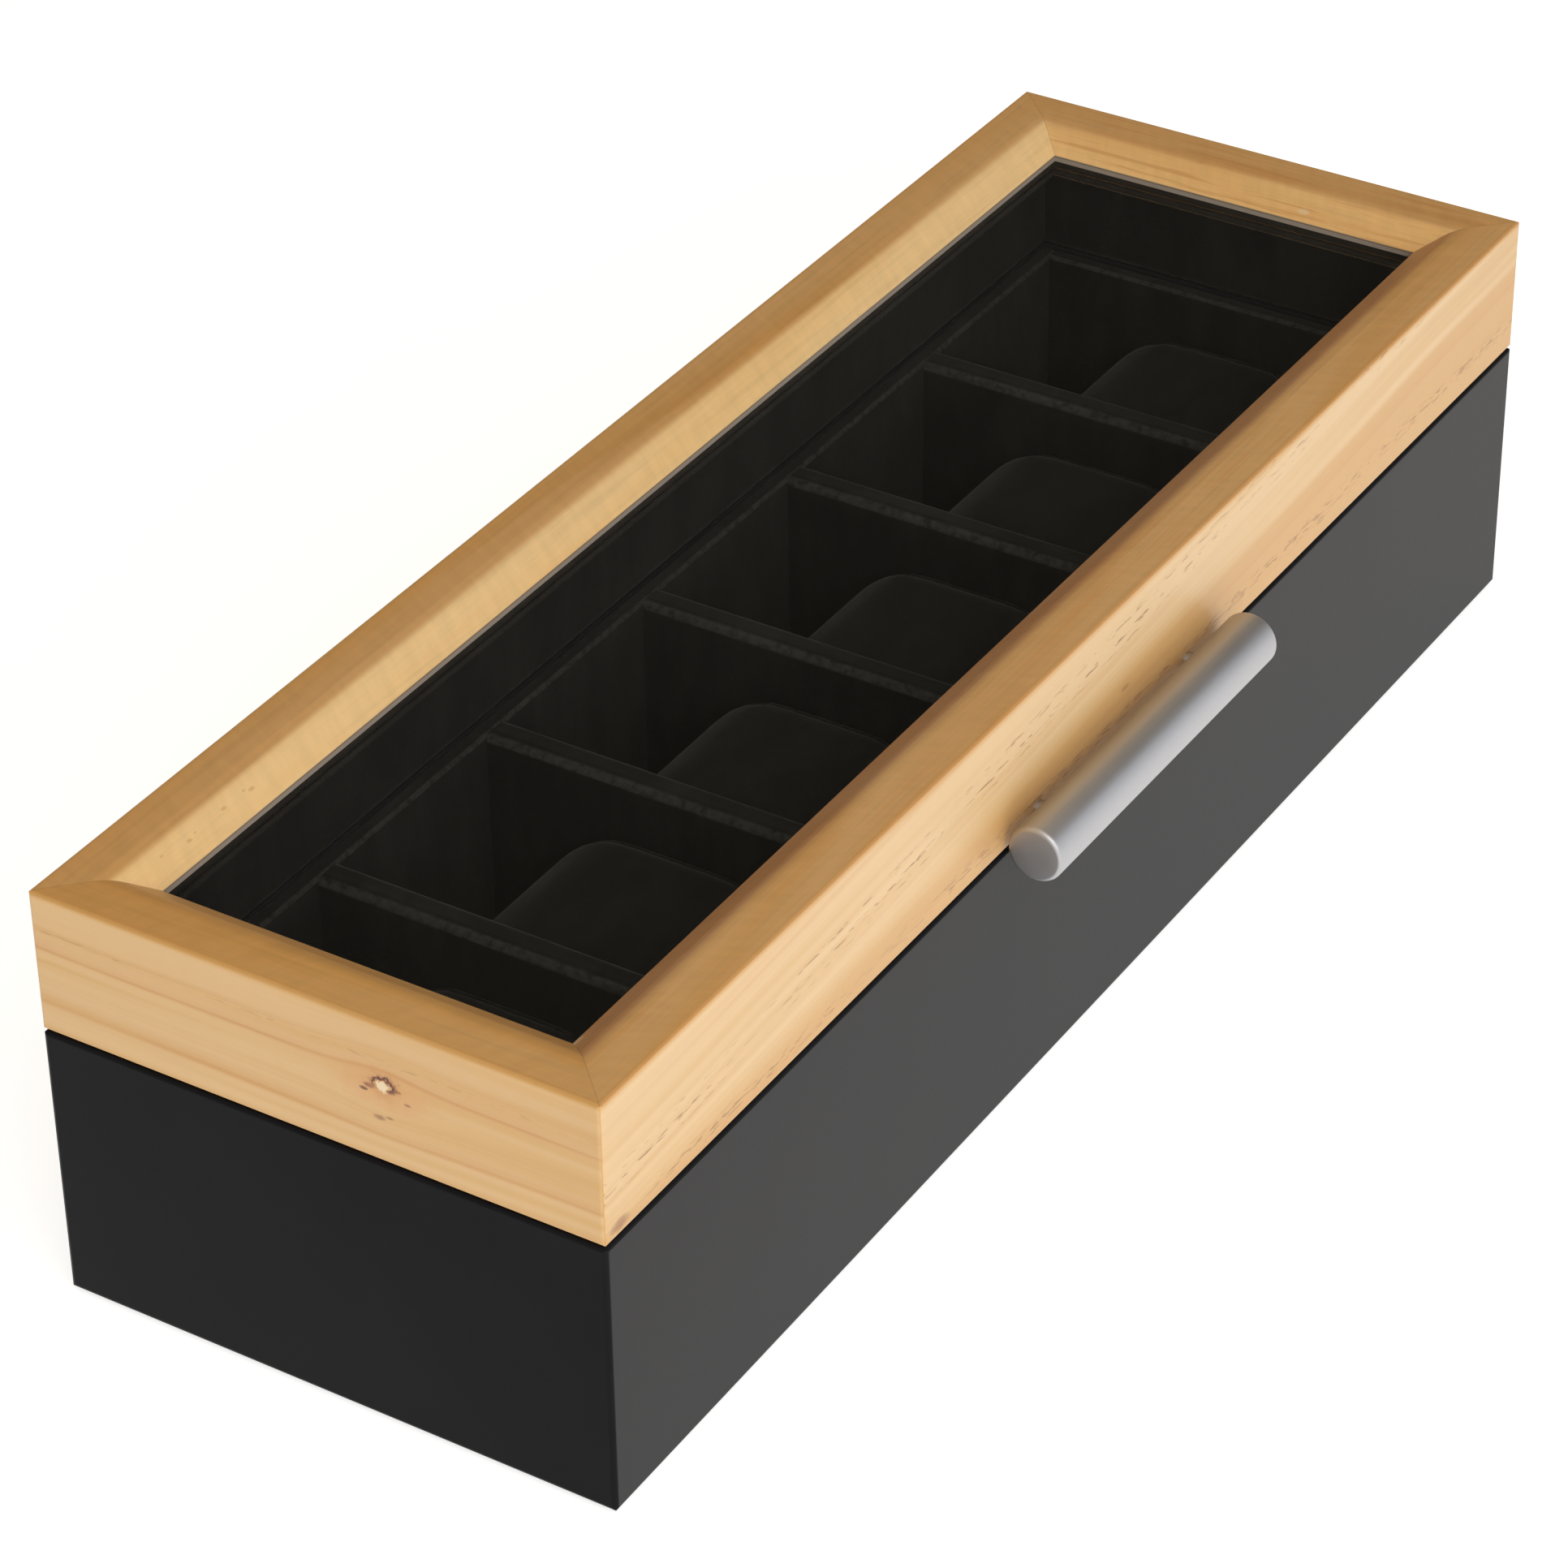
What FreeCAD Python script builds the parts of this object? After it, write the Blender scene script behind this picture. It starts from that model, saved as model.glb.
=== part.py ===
"""Watch box with six compartments.

A matte black case holds a suede tray with a pillow in each compartment. The lid is a mitred pine
frame around a glass pane. It turns on two hinges screwed to the back and has a round bar handle.

Millimetres. +X runs along the length, -Y is the front with the handle, +Z is up. The origin is the
middle of the underside.
"""
import FreeCAD
import Part
import math
import os

from FreeCAD import Vector

# Overall sizes
box_length = 360.0
box_width = 122.0
rim_height = 60.8
lid_height = 30.6
seam_gap = 0.6
corner_round = 1.0
edge_ease = 0.8

# Case
panel_thickness = 12.0
board_thickness = 6.0
board_rebate = 6.0
felt_thickness = 1.0
felt_inset = 2.0
rim_pad_radius = 3.0
rim_pad_inset = 20.0
rim_pad_clearance = 0.02

# Tray
tray_wall = 3.0
tray_floor = 2.0
tray_top_drop = 0.8
divider_count = 5
divider_thickness = 7.0
divider_round = 2.2
wrap_round = 1.2
inner_ease = 0.4

# Pillows
pillow_side_gap = 1.0
pillow_floor_gap = 0.3
pillow_top_drop = 8.5
pillow_depth = 56.0
pillow_shoulder = 17.0
pillow_foot = 10.0
pillow_end_round = 4.0

# Lid frame and glass
flange_width = 17.0
top_flat = 10.4
slope_angle = 33.0
slope_round = 7.5
lip_height = 1.4
lip_ease = 0.3
liner_thickness = 1.5
groove_depth = 3.5
glass_thickness = 2.0
glass_edge_gap = 0.3
glass_face_gap = 0.05

# Handle
bar_radius = 5.9
bar_length = 88.0
bar_chamfer = 0.9
bar_rise = 2.2
post_length = 1.2
post_radius = 1.8
stud_radius = 1.25
stud_spacing = 60.0
stud_in_rail = 8.0
stud_in_bar = 6.0
stud_gap = 0.05

# Hinges
hinge_inset = 70.0
hinge_length = 30.0
leaf_thickness = 1.0
leaf_height = 10.0
barrel_radius = 2.0
barrel_gap = 0.3
knuckle_gap = 0.2
pin_radius = 1.0
pin_gap = 0.05
pin_head_overhang = 0.5
pin_head_length = 0.5
stop_angle = 98.0
stop_reach = 5.2
stop_thickness = 1.2

# Hinge screws
screw_spacing = 18.0
screw_head_radius = 2.0
screw_shank_radius = 1.1
screw_length = 8.0
screw_gap = 0.05

# Heights and faces that several pieces share
case_bottom = felt_thickness
board_top = case_bottom + board_thickness
floor_top = board_top + tray_floor
tray_top = rim_height - tray_top_drop
lid_bottom = rim_height + seam_gap
lid_top = lid_bottom + lid_height
slope_drop = (flange_width - top_flat) * math.tan(math.radians(slope_angle))
glass_seat = lid_top - slope_drop - lip_height
groove_floor = glass_seat - glass_thickness - 2 * glass_face_gap
rail_wall = panel_thickness - liner_thickness
groove_back = rail_wall - groove_depth

inner_half_length = box_length / 2 - panel_thickness
inner_half_width = box_width / 2 - panel_thickness
tray_half_length = inner_half_length - tray_wall
tray_half_width = inner_half_width - tray_wall
bay_count = divider_count + 1
bay_width = (2 * tray_half_length - divider_count * divider_thickness) / bay_count
bay_pitch = bay_width + divider_thickness

hinge_offset = barrel_radius + barrel_gap
bar_axis_y = -box_width / 2 - post_length - bar_radius
bar_axis_z = lid_bottom + bar_rise
hinge_axis_y = box_width / 2 + hinge_offset
hinge_axis_z = rim_height + seam_gap / 2
knuckle_length = (hinge_length - 2 * knuckle_gap) / 3
leaf_start = barrel_radius + barrel_gap
screw_rise = (leaf_start + leaf_height) / 2


def rounded_wire(corners, place):
    """Closed wire through (a, b, radius) corners; place turns (a, b) into a point in space."""
    arcs = []
    for index, (a, b, radius) in enumerate(corners):
        here = Vector(a, b, 0)
        before = Vector(*corners[index - 1][:2], 0) - here
        after = Vector(*corners[(index + 1) % len(corners)][:2], 0) - here
        before.normalize()
        after.normalize()
        if radius == 0:
            arcs.append((here, None, here))
            continue
        half_angle = before.getAngle(after) / 2
        reach = radius / math.tan(half_angle)
        middle = before + after
        middle.normalize()
        crown = here + middle * (radius / math.sin(half_angle) - radius)
        arcs.append((here + before * reach, crown, here + after * reach))
    edges = []
    for index, (start, crown, end) in enumerate(arcs):
        if crown is not None:
            edges.append(Part.Arc(place(start.x, start.y), place(crown.x, crown.y), place(end.x, end.y)).toShape())
        following = arcs[(index + 1) % len(arcs)][0]
        edges.append(Part.LineSegment(place(end.x, end.y), place(following.x, following.y)).toShape())
    return Part.Wire(edges)


def prism(corners, place, travel):
    """Solid made by pushing a rounded outline along travel."""
    return Part.Face(rounded_wire(corners, place)).extrude(travel)


def prism_along_x(corners, x_start, x_end):
    """Prism whose outline is given in (y, z)."""
    return prism(corners, lambda y, z: Vector(x_start, y, z), Vector(x_end - x_start, 0, 0))


def prism_along_y(corners, y_start, y_end):
    """Prism whose outline is given in (x, z)."""
    return prism(corners, lambda x, z: Vector(x, y_start, z), Vector(0, y_end - y_start, 0))


def prism_along_z(corners, z_start, z_end):
    """Prism whose outline is given in (x, y)."""
    return prism(corners, lambda x, y: Vector(x, y, z_start), Vector(0, 0, z_end - z_start))


def block(x_span, y_span, z_span):
    """Rectangular block between three pairs of coordinates."""
    size = Vector(x_span[1] - x_span[0], y_span[1] - y_span[0], z_span[1] - z_span[0])
    return Part.makeBox(size.x, size.y, size.z, Vector(x_span[0], y_span[0], z_span[0]))


def rectangle(half_x, half_y, radius):
    """Corners of a centred rectangle with one radius at every corner."""
    return [
        (-half_x, -half_y, radius),
        (half_x, -half_y, radius),
        (half_x, half_y, radius),
        (-half_x, half_y, radius),
    ]


def mitred_side(section, turns):
    """One of four mitred boards around the box: front, right, back and left for 0 to 3 turns.

    The section is given as (distance in from the outer face, height, corner radius).
    """
    along, across = (box_length, box_width) if turns % 2 == 0 else (box_width, box_length)
    board = prism(section, lambda inward, z: Vector(-along / 2, inward, z), Vector(along, 0, 0))
    depth = max(inward for inward, _, _ in section)
    wedge = prism_along_z(
        [(-along / 2, 0, 0), (along / 2, 0, 0), (along / 2 - depth, depth, 0), (-along / 2 + depth, depth, 0)],
        0,
        lid_top,
    )
    side = board.common(wedge)
    side.translate(Vector(0, -across / 2, 0))
    side.rotate(Vector(0, 0, 0), Vector(0, 0, 1), 90 * turns)
    rounded_box = prism_along_z(rectangle(box_length / 2, box_width / 2, corner_round), 0, lid_top)
    return side.common(rounded_box).Solids[0]


def base_panel(turns):
    """Case side with an eased rim and a rebate for the bottom board."""
    rebate_edge = panel_thickness - board_rebate
    section = [
        (0, case_bottom, edge_ease),
        (rebate_edge, case_bottom, 0),
        (rebate_edge, board_top, 0),
        (panel_thickness, board_top, 0),
        (panel_thickness, rim_height, inner_ease),
        (0, rim_height, edge_ease),
    ]
    return mitred_side(section, turns)


def lid_rail(turns):
    """Lid frame side: flat top, slope down to the glass, lip, and a groove that holds the glass."""
    section = [
        (0, lid_bottom, edge_ease),
        (rail_wall, lid_bottom, 0),
        (rail_wall, groove_floor, 0),
        (groove_back, groove_floor, 0),
        (groove_back, glass_seat, 0),
        (flange_width, glass_seat, 0),
        (flange_width, lid_top - slope_drop, lip_ease),
        (top_flat, lid_top, slope_round),
        (0, lid_top, edge_ease),
    ]
    return mitred_side(section, turns)


def bottom_board():
    """Board let into the rebates of the four case sides."""
    half_x = inner_half_length + board_rebate
    half_y = inner_half_width + board_rebate
    return block((-half_x, half_x), (-half_y, half_y), (case_bottom, board_top))


def underside_felt():
    """Felt sheet that the box stands on, short of the case edges all round."""
    corners = rectangle(box_length / 2 - felt_inset, box_width / 2 - felt_inset, felt_inset)
    return prism_along_z(corners, 0, felt_thickness)


def rim_pads():
    """Two felt dots on the front rim that the closed lid lands on."""
    height = seam_gap - rim_pad_clearance
    pads = []
    for side in (-1, 1):
        spot = Vector(side * (box_length / 2 - rim_pad_inset), -box_width / 2 + panel_thickness / 2, rim_height)
        pads.append(Part.makeCylinder(rim_pad_radius, height, spot))
    return Part.makeCompound(pads)


def tray_floor_sheet():
    """Suede-covered sheet on the bottom board."""
    return block(
        (-inner_half_length, inner_half_length),
        (-inner_half_width, inner_half_width),
        (board_top, floor_top),
    )


def tray_long_wall(side):
    """Suede-wrapped wall along the front (side -1) or the back (side 1)."""
    corners = [
        (side * inner_half_width, floor_top, 0),
        (side * inner_half_width, tray_top, inner_ease),
        (side * tray_half_width, tray_top, wrap_round),
        (side * tray_half_width, floor_top, 0),
    ]
    return prism_along_x(corners, -inner_half_length, inner_half_length)


def tray_end_wall(side):
    """Suede-wrapped wall at the left (side -1) or the right (side 1), between the long walls."""
    corners = [
        (side * inner_half_length, floor_top, 0),
        (side * inner_half_length, tray_top, inner_ease),
        (side * tray_half_length, tray_top, wrap_round),
        (side * tray_half_length, floor_top, 0),
    ]
    return prism_along_y(corners, -tray_half_width, tray_half_width)


def divider(number):
    """Suede-wrapped board after the given compartment, counted from the left."""
    left = -tray_half_length + number * bay_pitch - divider_thickness
    right = left + divider_thickness
    corners = [
        (left, floor_top, 0),
        (right, floor_top, 0),
        (right, tray_top, divider_round),
        (left, tray_top, divider_round),
    ]
    return prism_along_y(corners, -tray_half_width, tray_half_width)


def pillow(number):
    """Soft cushion in the given compartment, counted from the left."""
    bay_left = -tray_half_length + (number - 1) * bay_pitch
    left = bay_left + pillow_side_gap
    right = bay_left + bay_width - pillow_side_gap
    bottom = floor_top + pillow_floor_gap
    top = tray_top - pillow_top_drop
    half = pillow_depth / 2
    corners = [
        (-half, bottom, pillow_foot),
        (half, bottom, pillow_foot),
        (half, top, pillow_shoulder),
        (-half, top, pillow_shoulder),
    ]
    roll = prism_along_x(corners, left, right)
    end_edges = [edge for edge in roll.Edges if edge.BoundBox.XLength < 0.01]
    return roll.makeFillet(pillow_end_round, end_edges)


def glass_pane():
    """Pane held in the groove of the lid frame."""
    inset = groove_back + glass_edge_gap
    half_x = box_length / 2 - inset
    half_y = box_width / 2 - inset
    pane_top = glass_seat - glass_face_gap
    return block((-half_x, half_x), (-half_y, half_y), (pane_top - glass_thickness, pane_top))


def lid_long_liner(side):
    """Suede-wrapped strip inside the front (side -1) or back (side 1) lid rail."""
    outer = side * (box_width / 2 - rail_wall)
    corners = [
        (outer, lid_bottom, 0),
        (outer, groove_floor, 0),
        (side * inner_half_width, groove_floor, 0),
        (side * inner_half_width, lid_bottom, inner_ease),
    ]
    half_x = box_length / 2 - rail_wall
    return prism_along_x(corners, -half_x, half_x)


def lid_end_liner(side):
    """Suede-wrapped strip inside the left (side -1) or right (side 1) lid rail."""
    outer = side * (box_length / 2 - rail_wall)
    corners = [
        (outer, lid_bottom, 0),
        (outer, groove_floor, 0),
        (side * inner_half_length, groove_floor, 0),
        (side * inner_half_length, lid_bottom, inner_ease),
    ]
    return prism_along_y(corners, -inner_half_width, inner_half_width)


def stud_cylinder(side, radius, start_y, end_y):
    """Cylinder on one of the two stud axes of the handle."""
    start = Vector(side * stud_spacing / 2, start_y, bar_axis_z)
    return Part.makeCylinder(radius, end_y - start_y, start, Vector(0, 1, 0))


def stud_group(radius, start_y, end_y):
    """The same cylinder on both stud axes."""
    return Part.makeCompound([stud_cylinder(side, radius, start_y, end_y) for side in (-1, 1)])


def stud_span():
    """Where the studs start in the bar and end in the rail, along Y."""
    return bar_axis_y + bar_radius - stud_in_bar, -box_width / 2 + stud_in_rail


def handle_bar():
    """Round bar with chamfered ends and two blind holes for the studs."""
    start = Vector(-bar_length / 2, bar_axis_y, bar_axis_z)
    bar = Part.makeCylinder(bar_radius, bar_length, start, Vector(1, 0, 0))
    rims = [edge for edge in bar.Edges if edge.BoundBox.XLength < 0.01]
    bar = bar.makeChamfer(bar_chamfer, rims)
    hole_start, _ = stud_span()
    return bar.cut(stud_group(stud_radius + stud_gap, hole_start - stud_gap, -box_width / 2))


def handle_posts():
    """Two collars on the studs that hold the bar off the rail."""
    collars = stud_group(post_radius, bar_axis_y, -box_width / 2)
    bar_start = Vector(-bar_length / 2, bar_axis_y, bar_axis_z)
    bar_space = Part.makeCylinder(bar_radius, bar_length, bar_start, Vector(1, 0, 0))
    hole = stud_group(stud_radius + stud_gap, bar_axis_y, -box_width / 2)
    return Part.makeCompound(collars.cut(bar_space).cut(hole).Solids)


def handle_studs():
    """Two double-ended studs from the bar into the front rail."""
    start, end = stud_span()
    return stud_group(stud_radius, start, end)


def front_rail():
    """Front lid rail, drilled for the handle studs."""
    _, hole_end = stud_span()
    return lid_rail(0).cut(stud_group(stud_radius + stud_gap, -box_width / 2, hole_end + stud_gap))


def to_hinge(shape, side):
    """Move a shape from the hinge's own axes to the left (side -1) or right (side 1) hinge."""
    placed = shape.copy()
    placed.translate(Vector(side * (box_length / 2 - hinge_inset), hinge_axis_y, hinge_axis_z))
    return placed


def hinge_screw(x, rise, gap):
    """Countersunk screw on the hinge's own axes; gap grows it into the hole that it needs."""
    outer_face = -hinge_offset + leaf_thickness
    neck = outer_face - (screw_head_radius - screw_shank_radius)
    tip = outer_face - screw_length - gap
    shank = screw_shank_radius + gap
    head = screw_head_radius + gap
    outline = [
        Vector(0, outer_face, 0),
        Vector(head, outer_face, 0),
        Vector(shank, neck, 0),
        Vector(shank, tip + shank, 0),
        Vector(0, tip, 0),
        Vector(0, outer_face, 0),
    ]
    profile = Part.Face(Part.makePolygon(outline))
    screw = profile.revolve(Vector(0, 0, 0), Vector(0, 1, 0), 360)
    screw.translate(Vector(x, 0, rise))
    return screw


def leaf_screws(direction, gap):
    """Both screws of one leaf: direction 1 for the lid leaf, -1 for the case leaf."""
    return [hinge_screw(x, direction * screw_rise, gap) for x in (-screw_spacing / 2, screw_spacing / 2)]


def knuckle(direction, x_start):
    """Barrel section with the neck that joins it to its leaf."""
    barrel = Part.makeCylinder(barrel_radius, knuckle_length, Vector(x_start, 0, 0), Vector(1, 0, 0))
    z_span = sorted((0, direction * leaf_start))
    leaf_span = (-hinge_offset, -hinge_offset + leaf_thickness)
    neck = block((x_start, x_start + knuckle_length), leaf_span, z_span)
    return barrel.fuse(neck)


def stop_fin(x_start):
    """Fin on a case knuckle that the opened lid leaf comes to rest on."""
    leaf_face = hinge_offset - leaf_thickness
    beyond_level = math.radians(stop_angle - 90)
    top = [leaf_face / math.cos(beyond_level) - y * math.tan(beyond_level) for y in (0, stop_reach)]
    corners = [
        (0, top[0] - stop_thickness, 0),
        (stop_reach, top[1] - stop_thickness, 0),
        (stop_reach, top[1], 0),
        (0, top[0], 0),
    ]
    return prism_along_x(corners, x_start, x_start + knuckle_length)


def hinge_leaf(direction):
    """Leaf on the hinge's own axes: direction 1 for the lid leaf, -1 for the case leaf."""
    z_span = sorted((direction * leaf_start, direction * leaf_height))
    leaf = block(
        (-hinge_length / 2, hinge_length / 2),
        (-hinge_offset, -hinge_offset + leaf_thickness),
        z_span,
    )
    outer_starts = (-hinge_length / 2, hinge_length / 2 - knuckle_length)
    if direction > 0:
        leaf = leaf.fuse(knuckle(direction, -knuckle_length / 2))
    else:
        for x_start in outer_starts:
            leaf = leaf.fuse(knuckle(direction, x_start)).fuse(stop_fin(x_start))
    bore_start = Vector(-hinge_length / 2, 0, 0)
    bore = Part.makeCylinder(pin_radius + pin_gap, hinge_length, bore_start, Vector(1, 0, 0))
    return leaf.cut([bore] + leaf_screws(direction, screw_gap)).removeSplitter()


def hinge_pin():
    """Pin through the knuckles, headed at both ends."""
    half = hinge_length / 2
    head_radius = pin_radius + pin_head_overhang
    pin = Part.makeCylinder(pin_radius, hinge_length, Vector(-half, 0, 0), Vector(1, 0, 0))
    for start in (-half - pin_head_length, half):
        head = Part.makeCylinder(head_radius, pin_head_length, Vector(start, 0, 0), Vector(1, 0, 0))
        pin = pin.fuse(head)
    return pin


def placed_screws(direction, gap):
    """Screws of the left and right hinge for one side of the seam."""
    return [to_hinge(screw, side) for side in (-1, 1) for screw in leaf_screws(direction, gap)]


def save(name, shape):
    shape.exportStep("parts/" + name + ".step")


def main():
    os.makedirs("parts", exist_ok=True)

    # Case
    save("base_front_panel", base_panel(0))
    save("base_right_panel", base_panel(1))
    save("base_back_panel", base_panel(2).cut(placed_screws(-1, screw_gap)))
    save("base_left_panel", base_panel(3))
    save("bottom_board", bottom_board())
    save("underside_felt", underside_felt())
    save("rim_pads", rim_pads())

    # Tray
    save("tray_floor", tray_floor_sheet())
    save("tray_front_wall", tray_long_wall(-1))
    save("tray_back_wall", tray_long_wall(1))
    save("tray_left_wall", tray_end_wall(-1))
    save("tray_right_wall", tray_end_wall(1))
    for number in range(1, divider_count + 1):
        save("divider_" + str(number), divider(number))
    for number in range(1, bay_count + 1):
        save("pillow_" + str(number), pillow(number))

    # Lid
    save("lid_front_rail", front_rail())
    save("lid_right_rail", lid_rail(1))
    save("lid_back_rail", lid_rail(2).cut(placed_screws(1, screw_gap)))
    save("lid_left_rail", lid_rail(3))
    save("glass_pane", glass_pane())
    save("lid_liner_front", lid_long_liner(-1))
    save("lid_liner_back", lid_long_liner(1))
    save("lid_liner_left", lid_end_liner(-1))
    save("lid_liner_right", lid_end_liner(1))

    # Handle
    save("handle_bar", handle_bar())
    save("handle_posts", handle_posts())
    save("handle_studs", handle_studs())

    # Hinges
    for side, place in ((-1, "left"), (1, "right")):
        save("hinge_case_leaf_" + place, to_hinge(hinge_leaf(-1), side))
        save("hinge_lid_leaf_" + place, to_hinge(hinge_leaf(1), side))
        save("hinge_pin_" + place, to_hinge(hinge_pin(), side))
    save("hinge_screws_case", Part.makeCompound(placed_screws(-1, 0)))
    save("hinge_screws_lid", Part.makeCompound(placed_screws(1, 0)))


main()
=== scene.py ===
"""Looks of the watch box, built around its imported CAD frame. Lengths in metres unless a name says mm."""

import math

import bmesh
import bpy
import numpy as np
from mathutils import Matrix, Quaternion, Vector
from mathutils.bvhtree import BVHTree


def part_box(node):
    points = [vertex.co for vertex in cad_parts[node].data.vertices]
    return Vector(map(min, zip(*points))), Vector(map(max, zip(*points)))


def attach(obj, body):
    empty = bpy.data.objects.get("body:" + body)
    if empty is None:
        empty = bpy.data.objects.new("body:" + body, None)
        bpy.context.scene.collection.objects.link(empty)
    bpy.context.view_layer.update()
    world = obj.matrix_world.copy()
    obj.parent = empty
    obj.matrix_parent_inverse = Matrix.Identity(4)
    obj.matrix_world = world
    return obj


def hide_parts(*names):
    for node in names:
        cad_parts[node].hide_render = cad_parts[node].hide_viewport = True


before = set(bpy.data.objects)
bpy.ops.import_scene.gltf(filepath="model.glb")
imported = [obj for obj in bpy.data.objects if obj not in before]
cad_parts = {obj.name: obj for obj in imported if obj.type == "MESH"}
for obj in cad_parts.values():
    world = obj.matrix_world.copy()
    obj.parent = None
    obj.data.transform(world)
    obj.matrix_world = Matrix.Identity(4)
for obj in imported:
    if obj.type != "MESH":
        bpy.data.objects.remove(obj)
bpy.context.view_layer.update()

MM = 0.001
HALF_LENGTH_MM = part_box("lid_right_rail")[1].x / MM
HALF_WIDTH_MM = -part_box("lid_front_rail")[0].y / MM
RAIL_DEPTH_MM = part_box("lid_front_rail")[1].y / MM + HALF_WIDTH_MM
TOP_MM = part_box("lid_front_rail")[1].z / MM
GLASS_TOP_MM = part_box("glass_pane")[1].z / MM
LINING_LOW_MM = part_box("lid_liner_back")[0].z / MM
LIP_TOP_MM = TOP_MM - 4.25


# ---------------------------------------------------------------- node graphs

# the colour sockets of a Mix node, which has others of the same names for numbers and vectors
MIX_FIRST = 6
MIX_SECOND = 7
MIX_RESULT = 2


class Graph:
    """One node material. Its methods add nodes and return outputs, so a pattern reads as a formula."""

    def __init__(self, name, **constants):
        self.material = bpy.data.materials.new(name)
        self.material.use_nodes = True
        self.tree = self.material.node_tree
        self.shader = self.tree.nodes["Principled BSDF"]
        for socket, value in constants.items():
            self.shader.inputs[socket.replace("_", " ")].default_value = value

    def add(self, kind, inputs, output=0, **settings):
        node = self.tree.nodes.new("ShaderNode" + kind)
        for name, value in settings.items():
            setattr(node, name, value)
        for key, value in inputs.items():
            self.feed(node.inputs[key], value)
        return node.outputs[output]

    def feed(self, socket, value):
        if isinstance(value, bpy.types.NodeSocket):
            self.tree.links.new(value, socket)
        else:
            socket.default_value = value

    def set(self, socket, value):
        self.feed(self.shader.inputs[socket], value)

    def place(self):
        """x, y and z in the row frame, in millimetres."""
        spot = self.add("TexCoord", {}, "Object")
        spot = self.add("VectorMath", {0: spot, "Scale": 1 / MM}, operation="SCALE")
        node = self.add("SeparateXYZ", {0: spot}).node
        return node.outputs["X"], node.outputs["Y"], node.outputs["Z"]

    def normal(self):
        """The surface's direction in the row frame, as x, y and z."""
        spot = self.add("TexCoord", {}, "Normal")
        node = self.add("SeparateXYZ", {0: spot}).node
        return node.outputs["X"], node.outputs["Y"], node.outputs["Z"]

    def math(self, operation, *values):
        return self.add("Math", dict(enumerate(values)), operation=operation)

    def plus(self, *terms):
        total = terms[0]
        for term in terms[1:]:
            total = self.math("ADD", total, term)
        return total

    def minus(self, a, b):
        return self.math("SUBTRACT", a, b)

    def times(self, *factors):
        total = factors[0]
        for factor in factors[1:]:
            total = self.math("MULTIPLY", total, factor)
        return total

    def most(self, *values):
        total = values[0]
        for value in values[1:]:
            total = self.math("MAXIMUM", total, value)
        return total

    def ramp(self, value, low, high):
        """0 below low, 1 above high and smooth between them. Where low is above high it falls instead."""
        swapped = low > high
        ends = {"From Min": min(low, high), "From Max": max(low, high), "To Min": float(swapped)}
        ends["To Max"] = 1.0 - ends["To Min"]
        return self.add("MapRange", {"Value": value, **ends}, interpolation_type="SMOOTHSTEP")

    def hill(self, value, centre, width):
        """1 where value is centre, falling to a third a width away."""
        off = self.math("DIVIDE", self.minus(value, centre), width)
        return self.math("EXPONENT", self.times(off, off, -1.0))

    def vector(self, x, y, z):
        return self.add("CombineXYZ", {"X": x, "Y": y, "Z": z})

    def noise(self, place, sizes, detail=2.0, roughness=0.5, seed=0.0):
        """Smooth noise about 0.5. sizes are its grain in millimetres along each axis of place."""
        spot = self.vector(*[self.math("MULTIPLY_ADD", v, 1 / s, seed) for v, s in zip(place, sizes)])
        inputs = {"Vector": spot, "Scale": 1.0, "Detail": detail, "Roughness": roughness}
        return self.add("TexNoise", inputs)

    def mix(self, share, first, second, blend="MIX"):
        """first with share of second over it, as colours."""
        node = self.add("Mix", {}, data_type="RGBA", blend_type=blend).node
        for index, value in ((0, share), (MIX_FIRST, first), (MIX_SECOND, second)):
            self.feed(node.inputs[index], value)
        return node.outputs[MIX_RESULT]

    def tone(self, colour, level):
        """colour with its brightness multiplied by level."""
        grey = self.vector(level, level, level)
        return self.mix(1.0, colour, grey, "MULTIPLY")

    def bump(self, height, depth_mm, strength=1.0):
        inputs = {"Height": height, "Distance": depth_mm * MM, "Strength": strength}
        self.set("Normal", self.add("Bump", inputs))


def rgb(red, green, blue):
    """A colour as its screen values from 0 to 255, turned linear."""
    return tuple(((c / 255 + 0.055) / 1.055) ** 2.4 for c in (red, green, blue)) + (1.0,)


# ---------------------------------------------------------------- pine

CREAM = rgb(228, 194, 146)
HONEY = rgb(212, 167, 102)
AMBER = rgb(202, 143, 80)
# painted shade: the flat tops of the rails are darkened towards the next colour
TOP_SHADE = rgb(206, 150, 80)
PEACH = rgb(212, 165, 103)
RUST = rgb(126, 66, 42)
RESIN = rgb(154, 106, 64)
PALE = rgb(240, 222, 184)
LIP_GREY = rgb(160, 150, 140)
# painted highlight along the eased outer edge of the rails
PINE_EDGE_HIGHLIGHT = rgb(214, 158, 82)
SHADE = rgb(90, 72, 56)
BARK = rgb(70, 34, 24)
PITCH = rgb(92, 46, 32)
SPECK = rgb(140, 92, 64)
BLUSH = rgb(216, 150, 92)

# how far a surface turns up, as the z of its direction: the slope down to the glass, and the flat top
SLOPE_UP = (0.60, 0.75)
FLAT_UP = (0.93, 0.99)
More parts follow.
